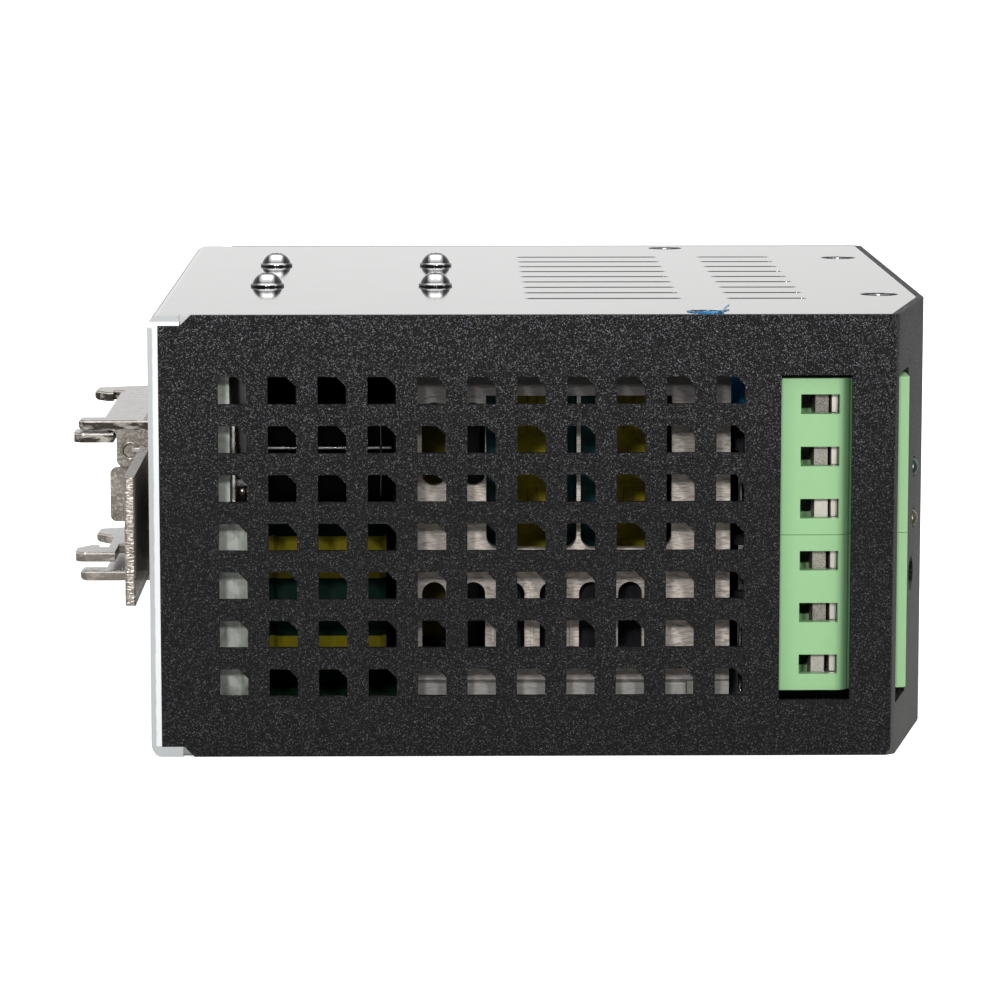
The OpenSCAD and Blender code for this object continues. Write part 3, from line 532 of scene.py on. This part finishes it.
def clean_copy(node):
    """A CAD node's mesh with its corners welded and its flat faces whole."""
    bm = bmesh.new()
    bm.from_mesh(frame["nodes"][node].data)
    bmesh.ops.remove_doubles(bm, verts=bm.verts, dist=WELD)
    bmesh.ops.dissolve_limit(
        bm, angle_limit=FLAT_ANGLE, verts=bm.verts, edges=bm.edges, use_dissolve_boundaries=False
    )
    return bm


def soften(bm, width, segments=2, choose=lambda edge: True):
    """Rounds the sharp edges that choose() picks."""
    sharp = [
        e
        for e in bm.edges
        if len(e.link_faces) == 2 and e.calc_face_angle(0) > SHARP_ANGLE and choose(e)
    ]
    if sharp:
        bmesh.ops.bevel(
            bm,
            geom=sharp,
            offset=width * MM,
            offset_type="OFFSET",
            segments=segments,
            profile=0.5,
            affect="EDGES",
            clamp_overlap=True,
        )


def to_object(bm, name):
    """A smooth-shaded object, still creased at its sharper angles."""
    mesh = bpy.data.meshes.new(name)
    bmesh.ops.recalc_face_normals(bm, faces=bm.faces)
    for face in bm.faces:
        face.smooth = True
    for edge in bm.edges:
        edge.smooth = len(edge.link_faces) == 2 and edge.calc_face_angle(0) < CREASE_ANGLE
    bm.to_mesh(mesh)
    bm.free()
    obj = bpy.data.objects.new(name, mesh)
    weighted = obj.modifiers.new("weighted", "WEIGHTED_NORMAL")
    weighted.keep_sharp = True
    weighted.weight = 100
    return obj


EDGE_WIDTH = {
    "front_cover": 0.16,
    "chassis": 0.14,
    "output_terminal_a": 0.16,
    "output_terminal_b": 0.16,
    "input_terminal": 0.16,
    "clip_bracket": 0.3,
    "clip_slider": 0.3,
    "output_heatsink": 0.26,
    "primary_heatsink": 0.2,
    "transformer_core": 0.5,
    "choke_core": 0.5,
    "line_filter_core": 0.5,
    "transformer_winding": 0.9,
    "choke_winding": 0.9,
    "line_filter_winding": 0.9,
    "x_capacitor": 0.8,
    "y_capacitors": 1.1,
    "varistor": 1.6,
    "insulation_sheet": 0.05,
    "clip_spring": 0.0,
    "led_ok": 0.0,
    "led_low": 0.0,
}


def ends(edge):
    """Both ends of an edge, in case millimetres."""
    return [(v.co - CASE_ORIGIN) / MM for v in edge.verts]


def along_y(edge):
    a, b = ends(edge)
    return abs(b.y - a.y) > 0.95 * (b - a).length


def at_tip(edge):
    """Corners of a finger's end, seen along the case."""
    return all(v.x < -12.6 for v in ends(edge)) and (ends(edge)[0] - ends(edge)[1]).length < 8


def bend_line(edge):
    """Outer edges of the cover's bends, which run from side panel to side panel."""
    a, b = ends(edge)
    outside = a.y < 0.1 or a.y > CASE_LENGTH - 0.1 or a.x > CASE_DEPTH - 0.1
    return abs(a.z - b.z) > 20 and outside and (a.xy - b.xy).length < 0.1 and a.x > SLANT_START_X


# Corners that are rounded more than the other edges of their part
CORNERS = {
    "front_cover": [(1.2, bend_line)],
    "clip_bracket": [
        (1.1, lambda e: along_y(e) and all(-7.6 < v.x < -7.4 for v in ends(e))),
        (0.55, at_tip),
    ],
    "clip_slider": [
        (0.9, lambda e: along_y(e) and all(v.x < -8.7 and 41 < v.y < 44.5 for v in ends(e))),
        (0.6, at_tip),
        (0.35, lambda e: all(v.y < -3.3 for v in ends(e))),
    ],
}

pieces = {}
for node in frame["nodes"]:
    bm = clean_copy(node)
    if EDGE_WIDTH.get(node, DEFAULT_EDGE):
        for width, choose in CORNERS.get(node, []):
            soften(bm, width, 4, choose=choose)
        soften(bm, EDGE_WIDTH.get(node, DEFAULT_EDGE))
    finish = FINISH_OF.get(node)
    piece = place_piece(to_object(bm, node + "_finished"), BODY_OF[node], SLOT_OF[node], finish)
    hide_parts(node)
    pieces[node] = piece


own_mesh(pieces["clip_spring"])


# ---------------------------------------------------------------- small visual pieces


def block(low, high, edge):
    """A box between two corners in case millimetres, with rounded edges."""
    bm = bmesh.new()
    bmesh.ops.create_cube(bm, size=1)
    for v in bm.verts:
        v.co = at(*(low[i] + (high[i] - low[i]) * (v.co[i] + 0.5) for i in range(3)))
    soften(bm, edge)
    return bm


def tube(points, radius):
    """Round wire with capped ends, along points in case millimetres."""
    curve = bpy.data.curves.new("wire", "CURVE")
    curve.dimensions = "3D"
    curve.bevel_depth = radius * MM
    curve.bevel_resolution = 4
    curve.use_fill_caps = True
    spline = curve.splines.new("NURBS")
    spline.points.add(len(points) - 1)
    for point, place in zip(spline.points, points):
        point.co = (*at(*place), 1)
    spline.order_u = 3
    spline.use_endpoint_u = True
    spline.resolution_u = 8
    holder = bpy.data.objects.new("wire", curve)
    mesh = bpy.data.meshes.new_from_object(holder)
    bm = bmesh.new()
    bm.from_mesh(mesh)
    bpy.data.objects.remove(holder)
    bmesh.ops.remove_doubles(bm, verts=bm.verts, dist=1e-6)
    return bm


def ring(centre, radius, thickness, axis):
    """A round-edged ring round a place in case millimetres, square to axis."""
    bm = bmesh.new()
    steps, profile = 40, 8
    turn = Vector((0, 0, 1)).rotation_difference(Vector(axis)).to_matrix()
    rows = []
    for i in range(steps):
        a = 2 * math.pi * i / steps
        row = []
        for k in range(profile):
            b = 2 * math.pi * k / profile
            r = radius + thickness * math.cos(b)
            arm = Vector((r * math.cos(a), r * math.sin(a), thickness * math.sin(b)))
            row.append(bm.verts.new(at(*(Vector(centre) + turn @ arm))))
        rows.append(row)
    for i in range(steps):
        for k in range(profile):
            j, m = (i + 1) % steps, (k + 1) % profile
            bm.faces.new((rows[i][k], rows[j][k], rows[j][m], rows[i][m]))
    return bm


def joined(meshes):
    """Several meshes as one."""
    whole = bmesh.new()
    for bm in meshes:
        part = bpy.data.meshes.new("part")
        bm.to_mesh(part)
        bm.free()
        whole.from_mesh(part)
        bpy.data.meshes.remove(part)
    return whole


def detail(bm, name, slot, finish=None):
    """A small piece of the visual model, on the case."""
    return place_piece(to_object(bm, name), "case", slot, finish)


# Near-black sheet across the case, behind the output end's vents, standing in for the shade deep inside,
# which closes the view inwards
film = moulded("dark_shade_sheet", (0.0012, 0.0012, 0.0014), (0.002, 0.002, 0.002), 0.8, ior=1.1)
barrier = block((12.2, 41.55, 7), (88, 41.85, 60), 0.05)
detail(barrier, "dark_shade_sheet", "insulating_film", finish=film)

# End of the spring's wire, hooked through its lug
hook = [
    (-4.9, 37.9, MID + 7.9),
    (-4.2, 37.6, MID + 8),
    (-3.3, 37.7, MID + 7.6),
    (-3.4, 37.8, MID + 6.9),
    (-4.2, 37.8, MID + 6.5),
    (-3.9, 37.9, MID + 5.9),
]
detail(tube(hook, 0.4), "spring_hook", "spring_steel")

# Dimple of the lug
detail(ring((-5.4, 38.5, MID + 7.7), 1.25, 0.22, (0, 1, 0)), "lug_dimple", "clip_nickel")

# Blue thread-locking paint that squeezed out round one screw of the upper side panel
paint = lacquered("locking_paint", (0.05, 0.27, 0.5), (0.02, 0.14, 0.34), 0.15)
paint.tint(paint.remap(paint.noise(0.5, 3), 0.5, 0.58), (0.008, 0.03, 0.06))
rim = CASE_WIDTH + 0.05
smear = [
    tube([(77.8, 4.7, rim), (78.1, 3.7, rim), (78.9, 3.0, rim)], 0.12),
    tube(
        [(79.2, 3.1, rim), (80.2, 2.5, rim), (81.2, 2.7, rim), (82.3, 2.6, rim), (82.8, 3.4, rim)],
        0.24,
    ),
    tube([(80.4, 2.4, rim), (81.0, 2.0, rim), (81.7, 2.1, rim)], 0.3),
    tube([(82.6, 3.6, rim), (83.1, 6.0, rim + 0.1), (83.6, 9.0, rim + 0.2), (84.1, 10.5, rim + 0.3)], 0.15),
]
detail(joined(smear), "locking_paint", "blue_lacquer", finish=paint)

# Bar across the board's supports, and a lead beside the filter
detail(block((14.2, 38.7, 40.0), (34.6, 39.4, 40.45), 0.12), "board_stay", "clamp_screw_steel")
detail(tube([(33.0, 30, 34), (33.1, 30, 40), (33.0, 30, 46)], 0.16), "filter_lead", "zinc_screw")

# Tape ends on the coils of the transformer and the choke
mark = moulded("tape_end", (0.03, 0.026, 0.004), (0.02, 0.017, 0.003), 0.5)
marks = []
for x in (55.0, 69.3):
    for low, high in ((31.5, 36.6), (44.6, 50.6)):
        for dx in (0, 1.45):
            marks.append(block((x + dx - 0.07, 20.5, low), (x + dx + 0.07, 20.62, high), 0.02))
    marks.append(block((x - 0.07, 20.5, 50.53), (x + 1.52, 20.62, 50.67), 0.02))
detail(joined(marks), "tape_ends", "yellow_tape", finish=mark)

# Thermal switch and its leads on the heatsink, behind the first column of vents
lead = polished_screw("tinned_lead", (0.7, 0.68, 0.62), 0.2)
copper = polished_screw("copper_strip", (0.72, 0.4, 0.24), 0.3)
detail(block((11.42, 9.2, 34.6), (12.1, 12.4, 47.6), 0.15), "switch_plate", "brass", finish=lead)
detail(block((12.0, 12.2, 37.9), (14.6, 13.4, 39.1), 0.25), "switch_bar", "clamp_screw_steel")
detail(block((11.9, 11.2, 35.2), (14.6, 13.6, 35.5), 0.08), "switch_strip", "brass", finish=copper)
joint = tube([(12.9, 12.2, 37.1), (12.95, 12, 37.3), (12.9, 12.2, 37.5)], 0.5)
detail(joint, "switch_joint", "zinc_screw", finish=lead)

# Snubber parts between the plate heatsink's fold and the front board
beads = [tube([(86.5, 14, z), (86.5, 14, z + 1.5), (86.5, 14, z + 3)], 1.15) for z in (19, 29, 43)]
detail(joined(beads), "snubber_beads", "black_epoxy", finish=FINISHES["black_sleeve"])
legs = [
    tube([(86.5, 14, 7), (86.3, 14, 11), (86.5, 14, 18)], 0.3),
    tube([(86.5, 14, 23), (86.6, 14, 25.5), (86.5, 14, 28)], 0.3),
    tube([(86.5, 14, 33), (86.3, 14, 37.5), (86.5, 14, 42)], 0.3),
]
detail(joined(legs), "snubber_leads", "zinc_screw", finish=lead)

# Folded stop of the bracket, over its upper flange
detail(block((-2.1, 38.6, MID + 12.35), (-0.05, 40.3, MID + 13.7), 0.3), "bracket_stop", "clip_nickel")


# ---------------------------------------------------------------- studio


def softbox(name, place, target, width, height, power):
    light = bpy.data.lights.new(name, "AREA")
    light.shape = "RECTANGLE"
    light.size, light.size_y = width, height
    light.energy = power
    obj = bpy.data.objects.new(name, light)
    aim(obj, place, target)
    bpy.context.collection.objects.link(obj)


centre = at(CASE_DEPTH / 2, CASE_LENGTH / 2, MID)
softbox("left", centre + Vector((-0.21, -1.35, 0.39)), centre, 0.1, 0.1, 7)
softbox("right", centre + Vector((0.21, -1.35, 0.39)), centre, 0.1, 0.1, 5.5)
softbox("side", centre + Vector((1.2, -0.7, 0.5)), centre, 0.5, 1.0, 4)
softbox("top", centre + Vector((0, 0.2, 1.6)), centre, 1.6, 1.6, 8)


def seen_or_lit(tree, seen, lit):
    """One shader for what the camera sees directly, and another for light and reflections."""
    path = tree.nodes.new("ShaderNodeLightPath")
    mix = tree.nodes.new("ShaderNodeMixShader")
    for socket, source in ((0, path.outputs["Is Camera Ray"]), (1, lit), (2, seen)):
        tree.links.new(source, mix.inputs[socket])
    return mix.outputs[0]


def graded(tree, value, low, high, to_low, to_high):
    """A smooth step from one strength to another."""
    made = tree.nodes.new("ShaderNodeMapRange")
    made.interpolation_type = "SMOOTHSTEP"
    tree.links.new(value, made.inputs[0])
    for socket, limit in enumerate((low, high, to_low, to_high), 1):
        made.inputs[socket].default_value = limit
    return made.outputs[0]


# The camera sees a white studio all round, and the light from low on the output end's side is dim
world = bpy.data.worlds.new("studio")
world.use_nodes = True
bpy.context.scene.world = world
tree = world.node_tree
split = tree.nodes.new("ShaderNodeSeparateXYZ")
tree.links.new(tree.nodes.new("ShaderNodeTexCoord").outputs["Generated"], split.inputs[0])
brighter = tree.nodes.new("ShaderNodeMath")
brighter.operation = "MAXIMUM"
tree.links.new(graded(tree, split.outputs["Y"], -0.75, 0.1, 0.12, 1.1), brighter.inputs[0])
tree.links.new(graded(tree, split.outputs["Z"], 0.08, 0.35, 0.12, 0.75), brighter.inputs[1])
dim, white = tree.nodes["Background"], tree.nodes.new("ShaderNodeBackground")
dim.inputs["Color"].default_value = white.inputs["Color"].default_value = (1, 1, 1, 1)
white.inputs["Strength"].default_value = 1.15
tree.links.new(brighter.outputs[0], dim.inputs["Strength"])
shown = seen_or_lit(tree, white.outputs[0], dim.outputs[0])
tree.links.new(shown, tree.nodes["World Output"].inputs["Surface"])

# The camera sees a white floor, and reflections see a grey one
bm = bmesh.new()
bmesh.ops.create_grid(bm, x_segments=4, y_segments=4, size=12)
floor = to_object(bm, "floor")
floor_finish = Finish("floor_white", (0.95, 0.95, 0.95), 0.9)
floor_finish.set("Emission Color", (1, 1, 1, 1))
floor_finish.set("Emission Strength", 0.45)
floor_finish.tint(floor_finish.remap(floor_finish.noise(40, 2), 0.3, 0.7), (0.94, 0.94, 0.94))
tree = floor_finish.tree
matt = tree.nodes.new("ShaderNodeBsdfDiffuse")
matt.inputs["Color"].default_value = (0.5, 0.5, 0.5, 1)
shown = seen_or_lit(tree, floor_finish.shader.outputs[0], matt.outputs[0])
tree.links.new(shown, tree.nodes["Material Output"].inputs["Surface"])
floor.data.materials.append(floor_finish.material)
bpy.context.collection.objects.link(floor)

bpy.context.scene.view_settings.view_transform = "Standard"
